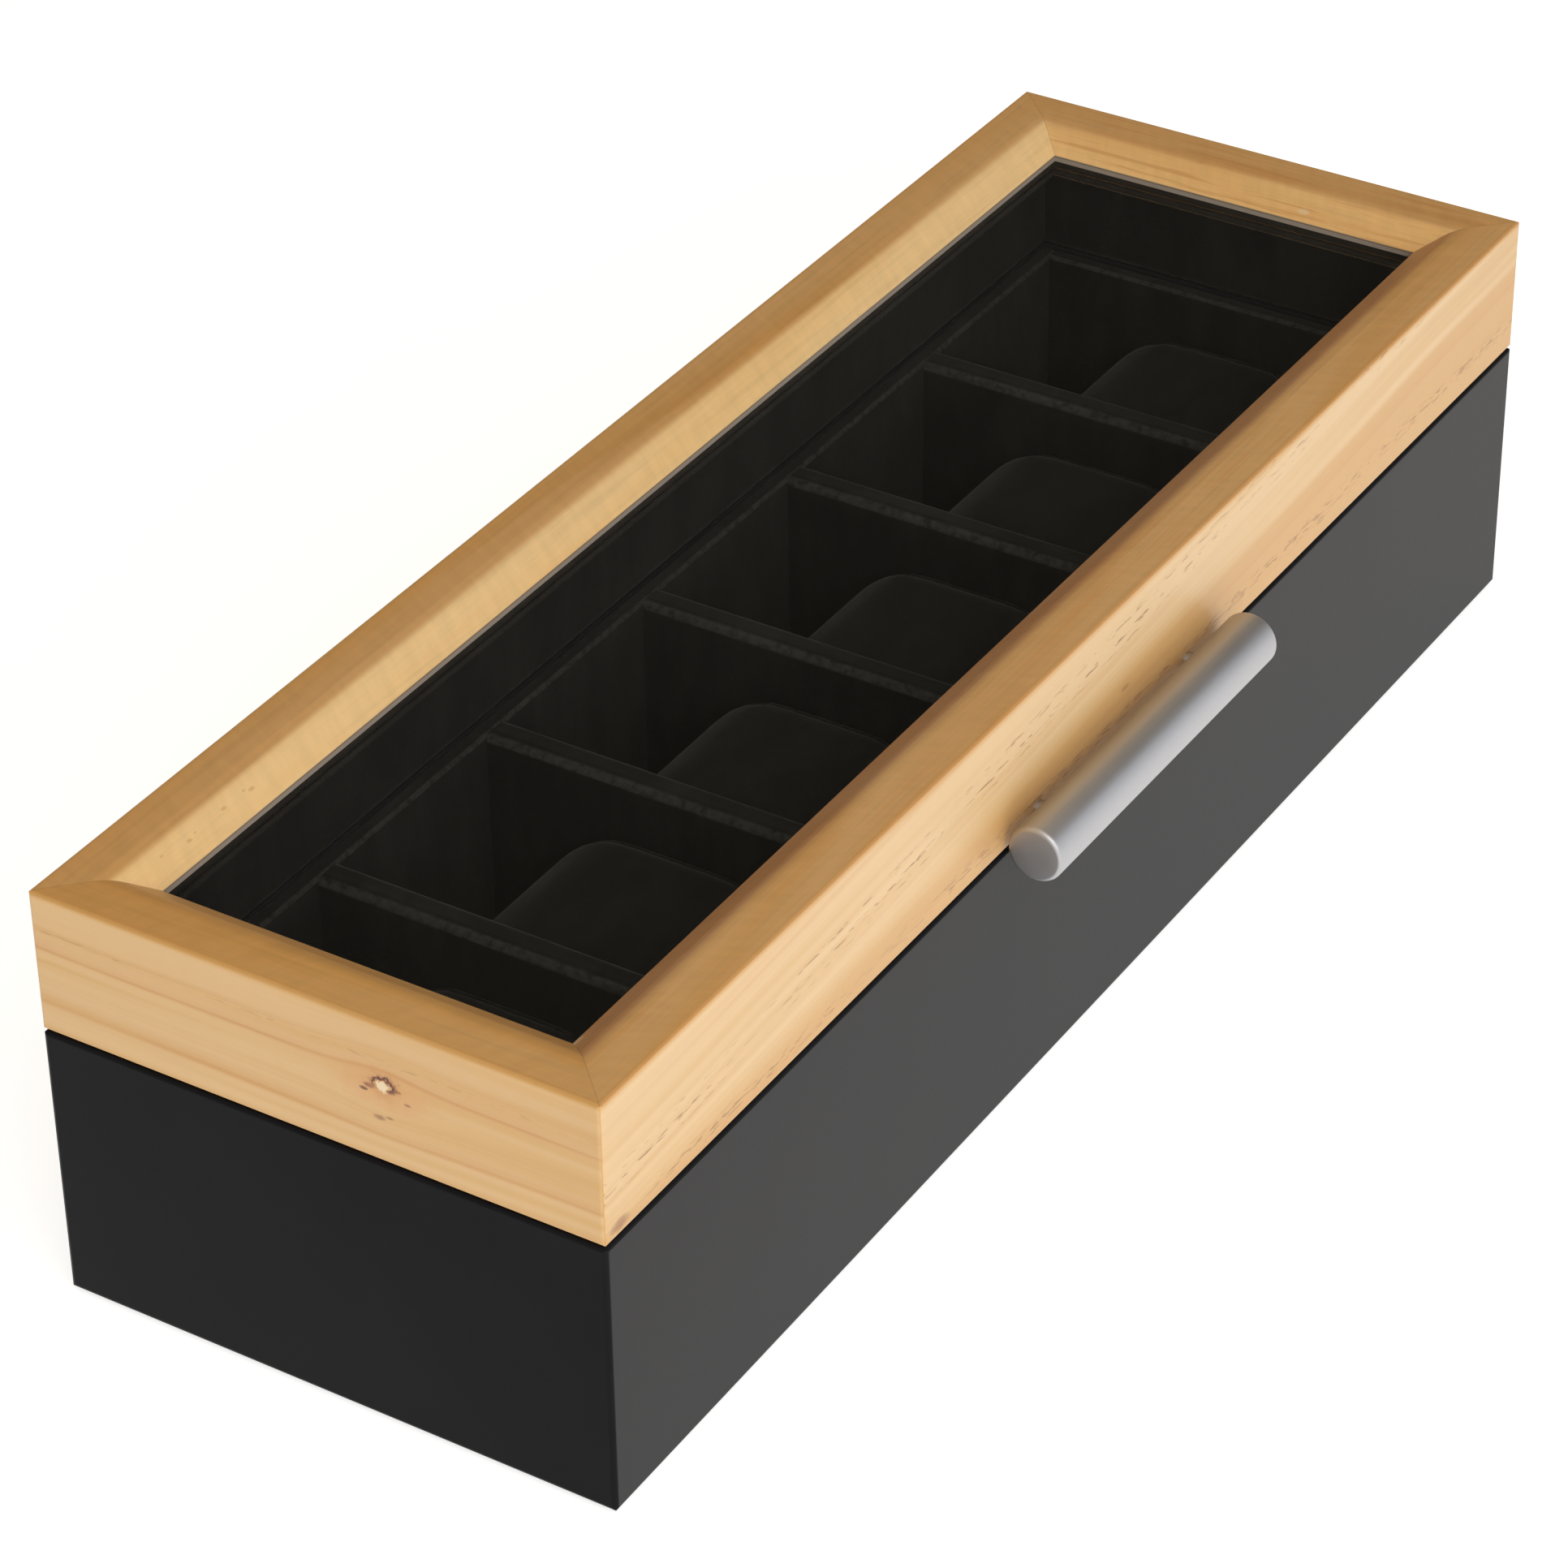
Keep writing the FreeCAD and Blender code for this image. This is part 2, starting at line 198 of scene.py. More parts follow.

# Each rail is cut from its own board. All lengths are in millimetres, and s runs along the rail.
# tilt, lean and wander: how the board's grain climbs along s, falls with depth and waves.
# honey: the board's least share of the honey colour.
# floor: (grain height, width, strength) of the peach wood below.
# bands: (grain height, width, strength) of the late wood's lines.
# ducts: rows of short resin ducts, as (z at the middle, climb along s, width, strength).
# streaks: the strength of the top's amber streaks. slope: the colour and strength of the slope's painted
# light and shade.
# knots: (s, z, size). spots: (s, depth, z, size, colour, strength).
RAILS = {
    "lid_front_rail": {
        "axis": 0, "side": -1, "seed": 3.7, "tilt": 0.05, "lean": 0.35, "wander": 1.3, "honey": 0.02,
        "floor": (73.4, 1.3, 0.85),
        "bands": [(79.5, 0.6, 0.16), (94.5, 0.7, 0.3), (69.0, 0.6, 0.3)],
        "ducts": [(84.2, 0.066, 0.5, 1.0), (87.0, 0.066, 0.5, 0.8), (82.2, 0.066, 0.4, 0.5),
                  (66.2, 0.012, 1.3, 0.8)],
        "streaks": 0.35,
        "slope": (rgb(176, 104, 62), 0.55),
        "knots": [],
        "spots": [(-175.6, 0, 63.8, 1.6, RUST, 0.55), (4.1, 0, 71.8, 0.8, RUST, 0.35),
                  (88.0, 0, 65.5, 1.0, RUST, 0.25), (-163.2, 16.6, 88.0, 1.2, PALE, 0.6)],
    },
    "lid_left_rail": {
        "axis": 1, "side": -1, "seed": 11.3, "tilt": -0.004, "lean": 0.55, "wander": 1.3, "honey": 0.46,
        "floor": (63.0, 0.9, 0.7),
        "bands": [(80.2, 0.5, 0.75), (82.0, 1.6, 0.25), (68.2, 0.6, 0.6), (84.6, 0.3, 0.4),
                  (72.2, 0.4, 0.2), (98.0, 1.2, 0.35)],
        "ducts": [(83.8, 0.004, 0.4, 0.35)],
        "streaks": 0.30,
        "slope": (rgb(196, 140, 82), 0.35),
        "knots": [(-15.5, 78.4, 1.7)],
        "spots": [(-15.5, 0, 77.4, 5.5, BLUSH, 0.4), (-14.4, 0, 71.2, 0.75, SPECK, 0.7),
                  (-16.6, 0, 71.8, 0.45, SPECK, 0.6), (-12.9, 0, 77.6, 0.75, RUST, 0.9),
                  (-11.4, 0, 76.5, 0.5, PITCH, 0.85), (-20.6, 0, 76.2, 0.4, RUST, 0.6),
                  (-18.6, 0, 78.3, 0.45, RUST, 0.7)],
    },
    "lid_back_rail": {
        "axis": 0, "side": 1, "seed": 23.9, "tilt": 0.012, "lean": 0.30, "wander": 1.6, "honey": 0.22,
        "floor": (66.0, 1.6, 0.4),
        "bands": [(93.8, 0.5, 0.35), (96.5, 0.5, 0.3), (78.0, 0.7, 0.5), (72.5, 0.6, 0.4),
                  (85.0, 0.5, 0.3)],
        "ducts": [(80.0, 0.02, 0.6, 0.5), (74.0, 0.01, 0.5, 0.5)],
        "streaks": 0.16,
        "slope": (rgb(250, 214, 154), 0.60),
        "knots": [],
        "spots": [(-150.3, 13.7, 89.9, 0.42, AMBER, 0.45), (-148.1, 13.2, 90.1, 0.30, AMBER, 0.40),
                  (-139.3, 13.1, 90.2, 0.40, AMBER, 0.40), (-131.4, 13.6, 90.1, 0.45, AMBER, 0.45),
                  (-133.0, 12.9, 90.3, 0.32, AMBER, 0.40), (-157.5, 12.8, 90.4, 0.35, AMBER, 0.35)],
    },
    "lid_right_rail": {
        "axis": 1, "side": 1, "seed": 31.1, "tilt": 0.020, "lean": 0.45, "wander": 1.5, "honey": 0.30,
        "floor": (64.5, 1.2, 0.5),
        "bands": [(95.9, 0.6, 0.5), (97.8, 0.6, 0.4), (82.0, 0.7, 0.6), (75.0, 0.6, 0.45),
                  (68.5, 0.5, 0.3)],
        "ducts": [(78.0, 0.03, 0.6, 0.5)],
        "streaks": 0.60,
        "slope": (rgb(243, 194, 120), 0.55),
        "knots": [],
        "spots": [(-16.6, 14.9, 89.1, 0.7, PALE, 0.5), (11.2, 10.4, 92.0, 0.6, AMBER, 0.5)],
    },
}


def pine(node, rail):
    """Lacquered pine for one lid rail."""
    g = Graph(
        "pine_" + node, Specular_IOR_Level=0.45, Coat_Weight=0.22, Coat_Roughness=0.28, Coat_IOR=1.45
    )
    x, y, z = g.place()
    s, across = (x, y) if rail["axis"] == 0 else (y, x)
    half_run = HALF_LENGTH_MM if rail["axis"] == 0 else HALF_WIDTH_MM
    half_span = HALF_WIDTH_MM if rail["axis"] == 0 else HALF_LENGTH_MM
    depth = g.minus(half_span, g.times(across, rail["side"]))
    spot = (s, depth, z)
    seed = rail["seed"]

    wander = g.times(g.minus(g.noise(spot, (75, 30, 24), 1.0, seed=seed), 0.5), 2 * rail["wander"])
    height = g.plus(z, g.times(s, -rail["tilt"]), g.times(depth, rail["lean"]), wander)
    for knot_s, knot_z, size in rail["knots"]:
        push = g.times(g.hill(s, knot_s, 6 * size), g.hill(z, knot_z, 4 * size))
        height = g.plus(height, g.times(g.minus(z, knot_z), push, -0.55))
    grain = (s, height, height)

    broad = g.ramp(g.noise(grain, (260, 6.5, 6.5), 2.0, seed=seed), 0.40, 0.66)
    lines = g.noise(grain, (190, 1.15, 1.15), 2.0, 0.6, seed=seed + 5)
    fibre = g.noise(spot, (16, 0.30, 0.30), 3.0, 0.65, seed=seed)
    cloud = g.noise(spot, (38, 14, 12), 2.0, seed=seed + 9)
    honey = g.math("MINIMUM", g.plus(rail["honey"], g.times(broad, 0.55)), 1.0)
    colour = g.mix(honey, CREAM, HONEY)

    low, width, strength = rail["floor"]
    colour = g.mix(g.times(g.ramp(height, low + width, low - width), strength), colour, PEACH)
    bands = [
        g.times(g.most(g.hill(height, at, w), g.times(g.hill(height, at + 1.6 * w, 2.6 * w), 0.45)), share)
        for at, w, share in rail["bands"]
    ]
    fading = g.ramp(cloud, 0.28, 0.60)
    late = g.times(g.most(*bands), g.plus(0.55, g.times(fading, 0.45)))
    late = g.most(late, g.times(g.ramp(lines, 0.60, 0.72), 0.10))
    colour = g.mix(late, colour, AMBER)
    ripple = g.noise(spot, (3.2, 11, 11), 2.0, seed=seed + 7)
    uneven = [g.times(lines, 0.05), g.times(fibre, 0.05), g.times(cloud, 0.04), g.times(ripple, 0.03)]
    level = g.plus(0.92, *uneven)
    colour = g.tone(colour, level)

    # the flat top is painted a deeper honey as shade, with soft streaks; the raised faces get a painted
    # sheen with a silky cross ripple, and each slope its own painted light and shade
    up = g.normal()[2]
    raised = g.ramp(up, *SLOPE_UP)
    flat = g.ramp(up, *FLAT_UP)
    slope_light_and_shade, slope_light_share = rail["slope"]
    colour = g.mix(g.times(flat, 0.55), colour, TOP_SHADE)
    colour = g.mix(g.times(raised, g.minus(1.0, flat), slope_light_share), colour, slope_light_and_shade)
    streak = g.noise((s, depth, z), (46, 1.5, 6.0), 3.0, 0.6, seed=seed + 5)
    painted_silk_sheen = g.noise((g.plus(s, g.times(depth, 0.5)), depth, z), (2.6, 9.0, 9.0), 2.0, 0.5, seed=seed + 9)
    grain_and_painted_sheen = g.plus(0.76, g.times(streak, 0.46), g.times(painted_silk_sheen, 0.20))
    colour = g.tone(colour, g.plus(g.times(raised, grain_and_painted_sheen), g.minus(1.0, raised)))
    colour = g.mix(g.times(raised, g.ramp(streak, 0.50, 0.66), rail["streaks"]), colour, AMBER)

    duct = g.ramp(g.noise((s, depth, z), (3.6, 0.48, 0.48), 1.0, seed=seed + 2), 0.56, 0.63)
    rows = [
        g.times(g.hill(g.minus(z, g.times(s, climb)), at, w), share)
        for at, climb, w, share in rail["ducts"]
    ]
    ducts = g.times(duct, g.most(*rows), g.ramp(cloud, 0.30, 0.52), g.minus(1.0, raised))
    colour = g.mix(g.times(ducts, 0.8), colour, RESIN)

    for at_s, at_depth, at_z, size, paint, share in rail["spots"]:
        rough = g.times(g.minus(g.noise(spot, (2.2, 1.6, 1.6), 2.0, seed=seed), 0.5), 1.4)
        off = [
            g.times(g.minus(s, at_s), 1 / (2.0 * size)),
            g.times(g.minus(depth, at_depth), 1 / size),
            g.times(g.minus(z, at_z), 1.25 / size),
        ]
        far = g.plus(*[g.times(v, v) for v in off])
        colour = g.mix(g.times(g.ramp(g.plus(far, rough), 1.5, 0.0), share), colour, paint)

    for knot_s, knot_z, size in rail["knots"]:
        ragged = g.times(g.minus(g.noise(spot, (1.9, 1.9, 1.7), 3.0, 0.65, seed=seed + 1), 0.5), 2.3)
        ds = g.times(g.minus(s, knot_s), 1 / (1.25 * size))
        dz = g.times(g.minus(z, knot_z), 1 / (0.9 * size))
        far = g.plus(g.math("SQRT", g.plus(g.times(ds, ds), g.times(dz, dz))), ragged)
        over = g.ramp(g.plus(dz, g.times(ds, -0.25), ragged), -0.7, 0.1)
        colour = g.mix(g.times(g.ramp(far, 2.6, 0.8), 0.5), colour, AMBER)
        colour = g.mix(g.times(g.hill(far, 1.15, 0.30), over), colour, RUST)
        colour = g.mix(g.times(g.hill(far, 1.10, 0.12), over, 0.8), colour, BARK)
        colour = g.mix(g.times(g.ramp(far, 0.80, 0.45), 0.9), colour, PALE)

    # the eased outer edge gets a painted highlight line in a saturated orange, and the mitre shows as a
    # fine dark glue line
    edge = g.plus(g.math("ABSOLUTE", g.minus(TOP_MM, z)), depth)
    colour = g.mix(g.times(g.ramp(edge, 1.6, 0.5), 0.50), colour, PINE_EDGE_HIGHLIGHT)
    mitre = g.minus(g.minus(half_run, g.math("ABSOLUTE", s)), depth)
    colour = g.mix(g.times(g.ramp(mitre, 0.24, 0.04), 0.22), colour, RUST)

    # the lip that the glass sits under is painted pale grey, with a line of painted shade along its top
    inner = g.ramp(depth, RAIL_DEPTH_MM - 0.12, RAIL_DEPTH_MM - 0.03)
    lip = g.times(inner, g.ramp(z, LIP_TOP_MM, LIP_TOP_MM - 0.3))
    colour = g.mix(g.times(lip, 0.9), colour, LIP_GREY)
    painted_shade_line = g.times(lip, g.ramp(z, GLASS_TOP_MM + 0.95, GLASS_TOP_MM + 1.15))
    colour = g.mix(g.times(painted_shade_line, 0.6), colour, SHADE)

    g.set("Base Color", colour)
    g.set("Roughness", g.plus(0.40, g.times(fibre, 0.10), g.times(late, -0.06)))
    relief = g.plus(g.times(fibre, 0.5), g.times(lines, 0.35), g.times(ducts, -1.6), g.times(late, 0.3))
    g.bump(relief, 0.035)
    return g.material


# ---------------------------------------------------------------- the other finishes


# painted highlight for the suede where it turns over an edge
SUEDE_EDGE_HIGHLIGHT = rgb(58, 56, 53)


def black_paint():
    """Matte black sprayed paint with a fine orange peel, glossier at a glancing angle."""
    g = Graph("black_paint")
    glancing = g.add("LayerWeight", {"Blend": 0.5}, "Facing")
    g.set("Specular IOR Level", g.plus(0.05, g.times(g.ramp(glancing, 0.36, 0.68), 0.34)))
    spot = g.place()
    peel = g.noise(spot, (1.3, 1.3, 1.3), 2.0)
    grit = g.noise(spot, (0.22, 0.22, 0.22), 2.0, 0.7)
    patch = g.noise(spot, (60, 60, 45), 3.0)
    colour = g.mix(g.ramp(patch, 0.3, 0.7), rgb(24, 24, 26), rgb(28, 28, 31))
    colour = g.tone(colour, g.plus(0.82, g.times(grit, 0.36)))
    g.set("Base Color", colour)
    g.set("Roughness", g.plus(0.42, g.times(grit, 0.12), g.times(patch, 0.06)))
    g.bump(g.plus(g.times(peel, 0.7), g.times(grit, 0.3)), 0.022)
    return g.material


def suede(name, dark, light, brush, edge_highlight):
    """Charcoal microsuede: a short nap with brushed patches, dark to light.

    brush is the size of a brush mark, and the last argument is the strength of the painted highlight along
    the edges.
    """
    g = Graph(name, Specular_IOR_Level=0.12, Sheen_Weight=0.12, Sheen_Roughness=0.45)
    g.shader.inputs["Sheen Tint"].default_value = rgb(196, 190, 184)
    spot = g.place()
    nap = g.noise(spot, (0.34, 0.34, 0.34), 3.0, 0.7)
    fuzz = g.noise(spot, (1.6, 1.6, 1.6), 2.0, 0.6)
    marks = g.noise(spot, brush, 2.0, 0.55, seed=4.0)
    patch = g.noise(spot, (42, 42, 34), 1.0, seed=8.0)
    brushed = g.ramp(g.plus(g.times(marks, 0.65), g.times(patch, 0.35)), 0.40, 0.62)
    colour = g.mix(brushed, dark, light)
    # a painted highlight where the cloth turns over an edge of the tray and along the lower edge of the
    # lid's lining
    up = g.math("ABSOLUTE", g.normal()[2])
    turned = g.times(g.ramp(up, 0.12, 0.35), g.ramp(up, 0.985, 0.85))
    highlit_edges = g.most(turned, g.times(g.hill(spot[2], LINING_LOW_MM + 0.2, 0.5), 0.7))
    colour = g.mix(g.times(highlit_edges, g.ramp(fuzz, 0.15, 0.60), edge_highlight), colour, SUEDE_EDGE_HIGHLIGHT)
    level = g.plus(0.58, g.times(nap, 0.56), g.times(fuzz, 0.28))
    g.set("Base Color", g.tone(colour, level))
    g.set("Roughness", g.plus(0.82, g.times(nap, 0.16)))
    g.bump(g.plus(g.times(nap, 0.6), g.times(fuzz, 0.4)), 0.09)
    return g.material


def felt():
    """Dense black felt, matted fibres lying every way."""
    g = Graph("felt", Specular_IOR_Level=0.1, Sheen_Weight=0.25, Sheen_Roughness=0.5)
    x, y, z = g.place()
    one = g.noise((g.plus(x, y), g.minus(x, y), z), (2.4, 0.22, 0.5), 3.0, 0.7)
    skew = (g.plus(x, g.times(y, -0.4)), g.plus(y, g.times(x, 0.4)), z)
    two = g.noise(skew, (0.22, 2.4, 0.5), 3.0, 0.7, 3.0)
    fibres = g.most(one, two)
    g.set("Base Color", g.mix(g.ramp(fibres, 0.42, 0.70), rgb(24, 24, 25), rgb(52, 51, 52)))
    g.set("Roughness", g.plus(0.85, g.times(fibres, 0.12)))
    g.bump(fibres, 0.12)
    return g.material


def board():
    """Black-faced fibreboard with its fine chips showing through."""
    g = Graph("board", Specular_IOR_Level=0.3)
    spot = g.place()
    chips = g.noise(spot, (0.9, 0.35, 0.35), 3.0, 0.6)
    g.set("Base Color", g.mix(g.ramp(chips, 0.45, 0.7), rgb(34, 32, 30), rgb(70, 60, 50)))
    g.set("Roughness", g.plus(0.6, g.times(chips, 0.2)))
    g.bump(chips, 0.03)
    return g.material


def metal(name, colour, roughness, lay):
    """Plated metal with a brushed lay. lay is the size of a scratch, in millimetres along x, y and z."""
    g = Graph(name, Metallic=1.0)
    spot = g.place()
    scratch = g.noise(spot, lay, 3.0, 0.65)
    cloud = g.noise(spot, (9, 6, 6), 2.0)
    level = g.plus(0.93, g.times(scratch, 0.09), g.times(cloud, 0.05))
    g.set("Base Color", g.tone(colour, level))
    g.set("Roughness", g.plus(roughness, g.times(scratch, 0.10), g.times(cloud, 0.06)))
    g.bump(scratch, 0.004)
    return g.material


def glass():
    """Clear low-reflection glass with faint smears. Lamps reach through it."""
    g = Graph("glass", Transmission_Weight=1.0, IOR=1.33)
    spot = g.place()
    smear = g.noise(spot, (70, 22, 5), 4.0, 0.6)
    dust = g.ramp(g.noise(spot, (0.9, 0.9, 0.9), 2.0, 0.6, 7.0), 0.74, 0.80)
    tint = g.mix(g.times(dust, 0.35), rgb(250, 253, 251), rgb(196, 196, 192))
    g.set("Base Color", tint)
    g.set("Roughness", g.plus(g.times(g.ramp(smear, 0.55, 0.8), 0.012), g.times(dust, 0.02)))
    clear = g.add("BsdfTransparent", {"Color": (0.96, 0.97, 0.965, 1.0)})
    lamp = g.add("LightPath", {}, "Is Shadow Ray")
    both = g.add("MixShader", {0: lamp, 1: g.shader.outputs[0], 2: clear})
    g.feed(g.tree.nodes["Material Output"].inputs["Surface"], both)
    return g.material


NICKEL = rgb(192, 192, 195)
FINISHES = {
    "black_paint": black_paint(),
    "suede": suede("suede", rgb(17, 16, 16), rgb(26, 25, 24), (9, 9, 26), 0.65),
    "felt": felt(),
    "board": board(),
    "glass": glass(),
    "satin_nickel": metal("satin_nickel", NICKEL, 0.40, (14, 0.16, 0.16)),
    "hinge_steel": metal("hinge_steel", rgb(196, 192, 186), 0.26, (7, 0.2, 0.2)),
    "screw_steel": metal("screw_steel", rgb(190, 187, 182), 0.24, (0.5, 0.5, 0.5)),
}


def dress_frame():
    """Gives every CAD node the finish of its slot. The rails get a board each."""
    for name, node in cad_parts.items():
        slot = node.data.materials[0].name
        finish = pine(name, RAILS[name]) if name in RAILS else FINISHES.get(slot)
        if finish:
            node.data.materials[0] = finish


# ---------------------------------------------------------------- pillows

FIRST_SEED = 100
WELD_GAP = 0.01 * MM
VOXEL = 2.6 * MM
RELAX_STEPS = 3
START_SIZE = 0.945
UNEVEN_SIZE = 0.006
CLOTH_QUALITY = 6
CLOTH_MASS = 0.2
STRETCH_STIFFNESS = 22
SHEAR_STIFFNESS = 12
BENDING_STIFFNESS = 1.5
PRESSURE = 4.0
SIM_FRAMES = 20
MOST_TRAVEL = 3.2 * MM
NO_TRAVEL = 1e-9
SEAM_INSET = 2.6 * MM
SEAM_GROOVE = 0.55 * MM
SEAM_WIDTH = 1.1 * MM
WELT_RADIUS = 0.42 * MM
SEAM_POINTS = 96


def new_object(name, mesh):
    piece = bpy.data.objects.new(name, mesh)
    bpy.context.scene.collection.objects.link(piece)
    return piece


def baked(piece):
    """The mesh of piece with its modifiers applied."""
    bpy.context.view_layer.update()
    graph = bpy.context.evaluated_depsgraph_get()
    return bpy.data.meshes.new_from_object(piece.evaluated_get(graph))


def corners(mesh):
    """The vertices of mesh as an array of points."""
    points = np.empty(len(mesh.vertices) * 3, np.float32)
    mesh.vertices.foreach_get("co", points)
    return points.reshape(-1, 3).astype(float)


def set_corners(mesh, points):
    mesh.vertices.foreach_set("co", points.astype(np.float32).ravel())
    mesh.update()


def shell(node, name, rng):
    """The CAD pillow, a little smaller and slightly uneven, remeshed for cloth."""
    low, high = [np.array(v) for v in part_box(node)]
    middle = (low + high) / 2
    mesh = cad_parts[node].data.copy()
    mesh.materials.clear()
    size = START_SIZE + rng.uniform(-UNEVEN_SIZE, UNEVEN_SIZE, 3)
    set_corners(mesh, middle + (corners(mesh) - middle) * size)
    piece = new_object(name, mesh)
    weld = piece.modifiers.new("weld", "WELD")
    weld.merge_threshold = WELD_GAP
    remesh = piece.modifiers.new("remesh", "REMESH")
    remesh.mode = "VOXEL"
    remesh.voxel_size = VOXEL
    piece.modifiers.new("relax", "SMOOTH").iterations = RELAX_STEPS
    done = baked(piece)
    piece.modifiers.clear()
    piece.data = done
    return piece


def inflate(piece):
    """Swells the shell as cloth under pressure, each point moving no further than MOST_TRAVEL."""
    start = corners(piece.data)
    cloth = piece.modifiers.new("cloth", "CLOTH")
    settings = cloth.settings
    settings.quality = CLOTH_QUALITY
    settings.mass = CLOTH_MASS
    settings.tension_stiffness = STRETCH_STIFFNESS
    settings.compression_stiffness = STRETCH_STIFFNESS
    settings.shear_stiffness = SHEAR_STIFFNESS
    settings.bending_stiffness = BENDING_STIFFNESS
    settings.use_pressure = True
    settings.uniform_pressure_force = PRESSURE
    settings.effector_weights.gravity = 0
    cloth.point_cache.frame_start = 1
    cloth.point_cache.frame_end = SIM_FRAMES
    for step in range(1, SIM_FRAMES + 1):
        bpy.context.scene.frame_set(step)
    swollen = corners(baked(piece))
    piece.modifiers.clear()
    bpy.context.scene.frame_set(1)
    move = swollen - start
    far = np.linalg.norm(move, axis=1, keepdims=True)
    set_corners(piece.data, start + move * np.minimum(1.0, MOST_TRAVEL / np.maximum(far, NO_TRAVEL)))


def finish_pillow(piece, node):
    """One subdivision, seams pressed in near both ends, and the result kept inside the CAD pillow's box."""
    piece.modifiers.new("smooth", "SUBSURF").levels = 1
    done = baked(piece)
    piece.modifiers.clear()
    piece.data = done
    low, high = [np.array(v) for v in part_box(node)]
    points = corners(done)
    normals = np.array([v.normal for v in done.vertices])
    middle_x = (low[0] + high[0]) / 2
    seam_x = (points[:, 0].max() - points[:, 0].min()) / 2 - SEAM_INSET
    off = (np.abs(points[:, 0] - middle_x) - seam_x) / SEAM_WIDTH
    round_the_band = 1 - np.abs(normals[:, 0:1])
    points -= normals * SEAM_GROOVE * np.exp(-(off**2))[:, None] * round_the_band
    set_corners(done, np.clip(points, low, high))
    done.polygons.foreach_set("use_smooth", [True] * len(done.polygons))
    return seam_x


def seam_welt(piece, name, at_x):
    """A thin welt that lies in the seam round the pillow at at_x."""
    tree = BVHTree.FromPolygons(
        [v.co for v in piece.data.vertices], [list(p.vertices) for p in piece.data.polygons]
    )
    points = corners(piece.data)
    middle = (points.min(0) + points.max(0)) / 2
    centre = Vector((at_x, middle[1], middle[2]))
    ring = []
    for i in range(SEAM_POINTS):
        turn = 2 * math.pi * i / SEAM_POINTS
        hit = tree.ray_cast(centre, Vector((0, math.cos(turn), math.sin(turn))))[0]
        ring.append(hit if hit else centre)
    curve = bpy.data.curves.new(name, "CURVE")
    curve.dimensions = "3D"
    curve.bevel_depth = WELT_RADIUS
    curve.bevel_resolution = 2
    spline = curve.splines.new("POLY")
    spline.points.add(len(ring) - 1)
    for point, spot in zip(spline.points, ring):
        point.co = (*spot, 1.0)
    spline.use_cyclic_u = True
    tube = new_object(name + "_line", curve)
    welt = new_object(name, baked(tube))
    bpy.data.objects.remove(tube)
    welt.data.polygons.foreach_set("use_smooth", [True] * len(welt.data.polygons))
    return welt


def make_pillow(number, cover):
    """A stuffed pillow with a welt in each of its two seams, in place of the plain CAD pillow."""
    node = f"pillow_{number}"
    body = f"pillow_{number}_body"
    rng = np.random.default_rng(FIRST_SEED + number)
    piece = shell(node, f"stuffed_pillow_{number}", rng)
    inflate(piece)
    seam_x = finish_pillow(piece, node)
    piece.data.materials.append(cover)
    middle_x = sum(v.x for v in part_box(node)) / 2
    welts = [
        seam_welt(piece, f"pillow_{number}_seam_{side}", middle_x + sign * seam_x)
        for side, sign in (("left", -1), ("right", 1))
    ]
    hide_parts(node)
    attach(piece, body)
    for welt in welts:
        welt.data.materials.append(cover)
        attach(welt, body)


# ---------------------------------------------------------------- handle bar

BAR_EDGE_ROUND = 0.95 * MM
BAR_SIDES = 96
ARC_STEPS = 8


def make_bar():
    """The handle bar as a smooth lathed rod with rounded ends, in the CAD bar's box."""
    low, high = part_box("handle_bar")
    radius = (high.z - low.z) / 2
    middle = (low + high) / 2
    outline = [(0.0, 0.0), (0.0, (radius - BAR_EDGE_ROUND) * 0.5)]
    for i in range(ARC_STEPS + 1):
        turn = math.pi / 2 * i / ARC_STEPS
        along = BAR_EDGE_ROUND * (1 - math.cos(turn))
        outline.append((along, radius - BAR_EDGE_ROUND * (1 - math.sin(turn))))
    half = (high.x - low.x) / 2
    profile = [(low.x + along, out) for along, out in outline]
    profile += [(middle.x - half / 3, radius), (middle.x + half / 3, radius)]
    profile += [(high.x - along, out) for along, out in reversed(outline)]
    shape = bmesh.new()
    rings = []
    for x, out in profile:
        if out == 0:
            rings.append([shape.verts.new((x, middle.y, middle.z))])
            continue
        turns = [2 * math.pi * i / BAR_SIDES for i in range(BAR_SIDES)]
        circle = [(x, middle.y + out * math.cos(a), middle.z + out * math.sin(a)) for a in turns]
        rings.append([shape.verts.new(point) for point in circle])
    for here, there in zip(rings, rings[1:]):
        for i in range(BAR_SIDES):
            j = (i + 1) % BAR_SIDES
            corners_here = [here[0]] if len(here) == 1 else [here[i], here[j]]
            corners_there = [there[0]] if len(there) == 1 else [there[j], there[i]]
            shape.faces.new(corners_here + corners_there)
    bmesh.ops.recalc_face_normals(shape, faces=shape.faces)
    mesh = bpy.data.meshes.new("handle_rod")
    shape.to_mesh(mesh)
    shape.free()
    mesh.polygons.foreach_set("use_smooth", [True] * len(mesh.polygons))
    mesh.materials.append(FINISHES["satin_nickel"])
    rod = new_object("handle_rod", mesh)
    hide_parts("handle_bar")
    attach(rod, "lid")


# ---------------------------------------------------------------- stage

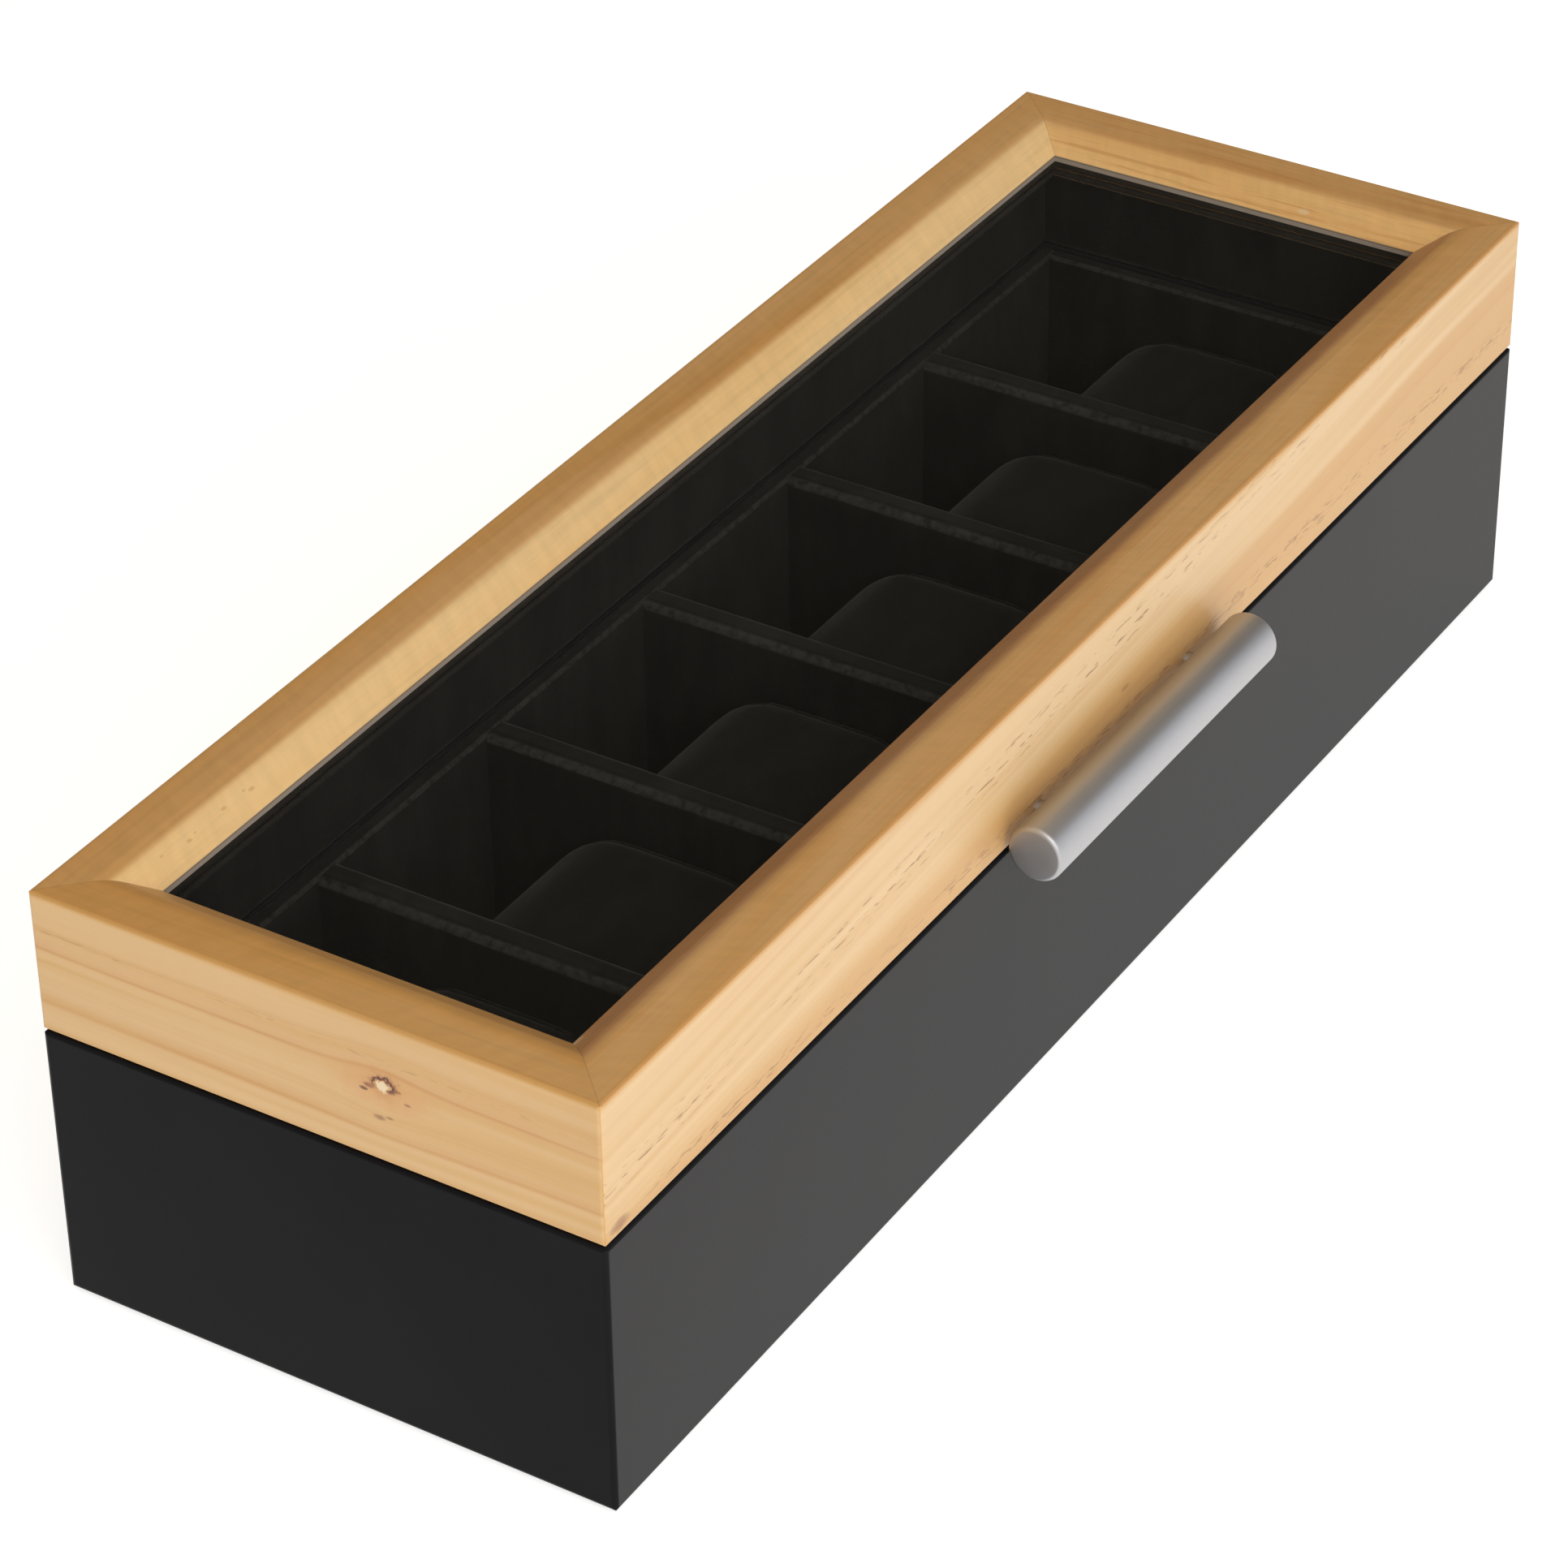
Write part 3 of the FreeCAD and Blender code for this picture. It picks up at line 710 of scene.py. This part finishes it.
CAMERA_LENS = 121.8
CAMERA_AIM = Vector((-0.0129, 0.0068, 0.0354))
CAMERA_DISTANCE = 1.0672
CAMERA_AZIMUTH = math.radians(-57.82)
CAMERA_ELEVATION = math.radians(34.43)
CAMERA_ROLL = math.radians(-0.855)
SENSOR_WIDTH = 36
NEAR_CLIP = 0.05
FAR_CLIP = 20
FLOOR_HALF = 4.0
FLOOR_DROP = 0.1 * MM
FLOOR_GLOW = 0.74
FLOOR_PATCH_MM = 300
WHITE = (1.0, 1.0, 1.0, 1.0)
SKY_COLOUR = (1.0, 0.86, 0.67, 1.0)
# the world's strength, and the height, as the sine of an elevation, above which it grows
SKY_LOW = 0.045
SKY_HIGH = 0.73
SKY_START = 0.55


def direction(azimuth, elevation):
    """Unit vector towards azimuth, measured from -Y round to +X, and elevation."""
    flat = math.cos(elevation)
    return Vector((math.sin(azimuth) * flat, -math.cos(azimuth) * flat, math.sin(elevation)))


def make_camera():
    data = bpy.data.cameras.new("camera")
    data.sensor_width = SENSOR_WIDTH
    data.lens = CAMERA_LENS
    data.clip_start = NEAR_CLIP
    data.clip_end = FAR_CLIP
    camera = bpy.data.objects.new("camera", data)
    bpy.context.scene.collection.objects.link(camera)
    back = direction(CAMERA_AZIMUTH, CAMERA_ELEVATION)
    camera.location = CAMERA_AIM + back * CAMERA_DISTANCE
    camera.rotation_mode = "QUATERNION"
    level = (-back).to_track_quat("-Z", "Y")
    camera.rotation_quaternion = level @ Quaternion((0, 0, 1), CAMERA_ROLL)
    bpy.context.scene.camera = camera


def make_floor():
    mesh = bpy.data.meshes.new("floor")
    sides = [(-1, -1), (1, -1), (1, 1), (-1, 1)]
    mesh.from_pydata([(x * FLOOR_HALF, y * FLOOR_HALF, -FLOOR_DROP) for x, y in sides], [], [(0, 1, 2, 3)])
    floor = new_object("floor", mesh)
    g = Graph("floor", Roughness=1.0, Specular_IOR_Level=0.0, Emission_Strength=FLOOR_GLOW)
    g.shader.inputs["Emission Color"].default_value = WHITE
    patch = g.noise(g.place(), [FLOOR_PATCH_MM] * 3)
    g.set("Base Color", g.mix(patch, rgb(205, 205, 205), rgb(212, 212, 212)))
    mesh.materials.append(g.material)


def soft_lamp(name, azimuth, elevation, away, size, power, colour):
    """An area lamp, away metres from the frame's origin and aimed at it. Angles are in degrees."""
    data = bpy.data.lights.new(name, "AREA")
    data.shape = "RECTANGLE"
    data.size, data.size_y = size
    data.energy = power
    data.color = colour
    lamp = bpy.data.objects.new(name, data)
    bpy.context.scene.collection.objects.link(lamp)
    back = direction(math.radians(azimuth), math.radians(elevation))
    lamp.location = back * away
    lamp.rotation_mode = "QUATERNION"
    lamp.rotation_quaternion = (-back).to_track_quat("-Z", "Y")


def make_world():
    """A dim warm room that brightens smoothly overhead."""
    world = bpy.data.worlds.new("studio")
    world.use_nodes = True
    nodes, links = world.node_tree.nodes, world.node_tree.links
    sky = nodes["Background"]
    sky.inputs["Color"].default_value = SKY_COLOUR
    towards = nodes.new("ShaderNodeTexCoord")
    split = nodes.new("ShaderNodeSeparateXYZ")
    overhead = nodes.new("ShaderNodeMapRange")
    overhead.interpolation_type = "SMOOTHSTEP"
    overhead.inputs["From Min"].default_value = SKY_START
    overhead.inputs["To Min"].default_value = SKY_LOW
    overhead.inputs["To Max"].default_value = SKY_HIGH
    links.new(towards.outputs["Generated"], split.inputs[0])
    links.new(split.outputs["Z"], overhead.inputs["Value"])
    links.new(overhead.outputs[0], sky.inputs["Strength"])
    bpy.context.scene.world = world
    bpy.context.scene.view_settings.view_transform = "Standard"


make_camera()
make_world()
make_floor()
soft_lamp("key", -45, 34, away=2.0, size=(1.8, 1.8), power=24.5, colour=(1.0, 0.99, 0.97))
soft_lamp("front", 25, 18, away=2.0, size=(2.4, 1.2), power=8.8, colour=(0.95, 0.98, 1.04))

dress_frame()
make_bar()
pillow_cover = suede("pillow_suede", rgb(12, 11, 11), rgb(19, 18, 17), (18, 7, 7), 0.06)
for pillow_number in range(1, 7):
    make_pillow(pillow_number, pillow_cover)
